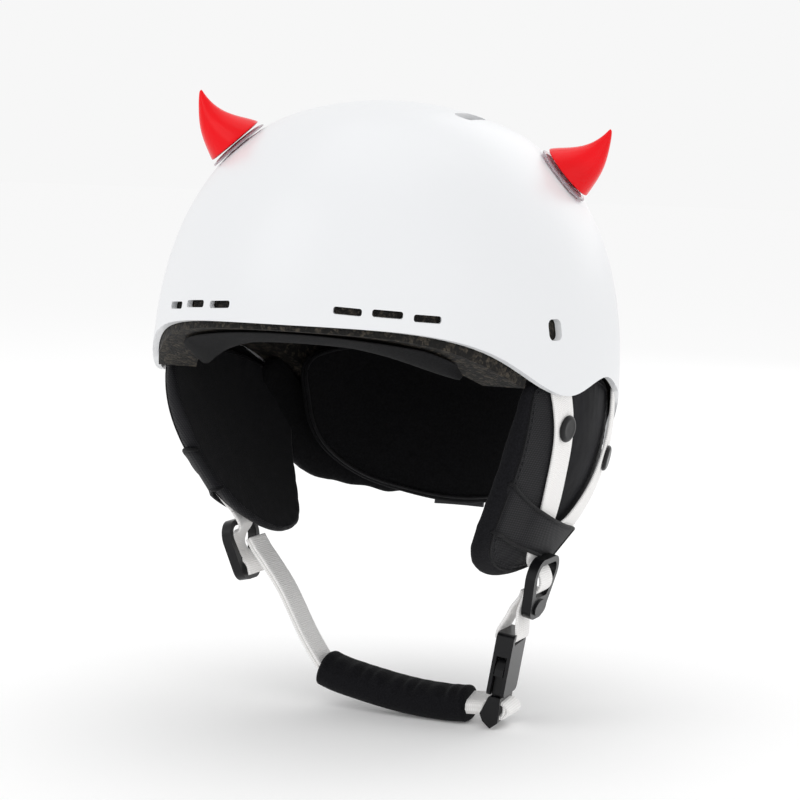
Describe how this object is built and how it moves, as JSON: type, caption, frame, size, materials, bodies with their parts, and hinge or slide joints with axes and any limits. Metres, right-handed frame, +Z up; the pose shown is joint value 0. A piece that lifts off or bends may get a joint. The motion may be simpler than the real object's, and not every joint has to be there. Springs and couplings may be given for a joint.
{
  "type": "ski helmet",
  "caption": "White ski helmet with ear pads, webbing harness, padded chin strap with side-release buckle, and red stick-on devil horns.",
  "frame": {"origin": "middle of the dome at its widest level, where the head sits", "axes": "+Z up, -Y the front of the helmet, +X the wearer's left"},
  "size_m": [0.2246, 0.2798, 0.3086],
  "materials": {
    "shell_white": "satin paint",
    "eps_foam": "moulded bead foam, speckled",
    "liner_black": "soft brushed liner fabric",
    "fleece_black": "fleece",
    "fabric_black": "woven band",
    "webbing_white": "ribbed webbing",
    "plastic_black": "moulded, fine grain",
    "plastic_grey": "moulded",
    "horn_red": "glossy soft plastic",
    "cup_clear": "clear soft plastic",
    "rubber_black": "moulded rubber",
    "steel": "plated"
  },
  "bodies": {
    "helmet": {"outer_shell": "shell_white", "eps_liner": "eps_foam", "brow_pad": "liner_black", "crown_pad": "liner_black", "side_liner_left": "liner_black", "side_liner_right": "liner_black", "neck_roll": "liner_black", "ear_pad_left": "fleece_black", "ear_pad_right": "fleece_black", "front_strap_left": "webbing_white", "front_strap_right": "webbing_white", "rear_strap_left": "webbing_white", "rear_strap_right": "webbing_white", "strap_keeper_left": "fabric_black", "strap_keeper_right": "fabric_black", "snap_caps_left": "plastic_black", "snap_caps_right": "plastic_black", "strap_rivets_left": "steel", "strap_rivets_right": "steel", "divider_left": "plastic_black", "divider_right": "plastic_black", "suction_cup_left": "cup_clear", "suction_cup_right": "cup_clear", "goggle_base": "plastic_black", "goggle_pin": "steel", "goggle_stud": "steel"},
    "chin_strap": {"chin_strap": "webbing_white", "chin_pad": "fleece_black"},
    "buckle_end": {"short_strap": "webbing_white", "buckle_socket": "plastic_black"},
    "plug": {"buckle_plug": "plastic_black", "plug_webbing": "webbing_white"},
    "prong_front": {"prong_front": "plastic_black"},
    "prong_rear": {"prong_rear": "plastic_black"},
    "horn_left": {"horn_left": "horn_red"},
    "horn_right": {"horn_right": "horn_red"},
    "goggle_flap": {"goggle_strap": "rubber_black", "goggle_snap_cap": "plastic_black"},
    "rear_fit": {"fit_cradle": "plastic_grey", "neck_liner": "liner_black"}
  },
  "joints": [
    {"name": "chin_strap_swing", "type": "hinge", "parent": "helmet", "child": "chin_strap", "pos_m": [0, -0.004, -0.098], "axis": [1, 0, 0], "range_deg": [-30, 30]},
    {"name": "buckle_end_swing", "type": "hinge", "parent": "helmet", "child": "buckle_end", "pos_m": [0, -0.004, -0.098], "axis": [1, 0, 0], "range_deg": [-30.5, 30.5]},
    {"name": "plug_release", "type": "slide", "parent": "chin_strap", "child": "plug", "axis": [-0.1633, 0, -0.9866], "range_m": [0, 0.022]},
    {"name": "prong_front_squeeze", "type": "hinge", "parent": "plug", "child": "prong_front", "pos_m": [0.06725, -0.01186, -0.14612], "axis": [0.982, 0.0959, -0.1626], "range_deg": [-7, 0], "stiffness_Nm_per_rad": 0.05},
    {"name": "prong_rear_squeeze", "type": "hinge", "parent": "plug", "child": "prong_rear", "pos_m": [0.06575, 0.00386, -0.14588], "axis": [0.982, 0.0959, -0.1626], "range_deg": [0, 7.2], "stiffness_Nm_per_rad": 0.05},
    {"name": "horn_left_turn", "type": "hinge", "parent": "helmet", "child": "horn_left", "pos_m": [0.082, 0.0198, 0.1085], "axis": [0.7563, 0.1191, 0.6433], "range_deg": [-40, 40]},
    {"name": "horn_right_turn", "type": "hinge", "parent": "helmet", "child": "horn_right", "pos_m": [-0.063, -0.0454, 0.1193], "axis": [-0.5961, -0.2861, 0.7502], "range_deg": [-40, 40]},
    {"name": "rear_fit_slide", "type": "slide", "parent": "helmet", "child": "rear_fit", "axis": [0, -1, 0], "range_m": [0, 0.006], "stiffness_N_per_m": 200},
    {"name": "goggle_flap_lift", "type": "hinge", "parent": "helmet", "child": "goggle_flap", "pos_m": [0, 0.1432, 0.022], "axis": [1, 0, 0], "range_deg": [0, 70]}
  ],
  "couplings": [
    {"joint": "buckle_end_swing", "follows": "chin_strap_swing", "ratio": 1},
    {"joint": "prong_rear_squeeze", "follows": "prong_front_squeeze", "ratio": -1}
  ]
}
